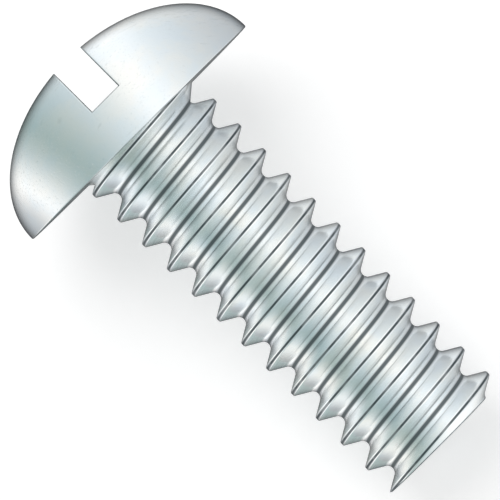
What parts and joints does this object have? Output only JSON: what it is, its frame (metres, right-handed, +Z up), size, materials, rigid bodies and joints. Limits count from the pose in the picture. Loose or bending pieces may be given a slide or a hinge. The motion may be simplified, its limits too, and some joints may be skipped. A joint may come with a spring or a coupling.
{
  "type": "round head machine screw",
  "caption": "Slotted round head machine screw with a domed head, a flat bearing face and a fully threaded right-hand shank.",
  "frame": {"origin": "centre of the flat bearing face under the head, on the screw's axis", "axes": "the screw lies on its side as it comes to rest: +X runs along the shank towards the tip, which dips 10.2 degrees below it; +Z is up; +Y is across, and the slot opens upwards, in the XZ plane"},
  "size_m": [0.0164, 0.0092, 0.009],
  "materials": {
    "zinc_plated_steel": "satin"
  },
  "bodies": {
    "root": {"screw": "zinc_plated_steel"}
  },
  "joints": []
}
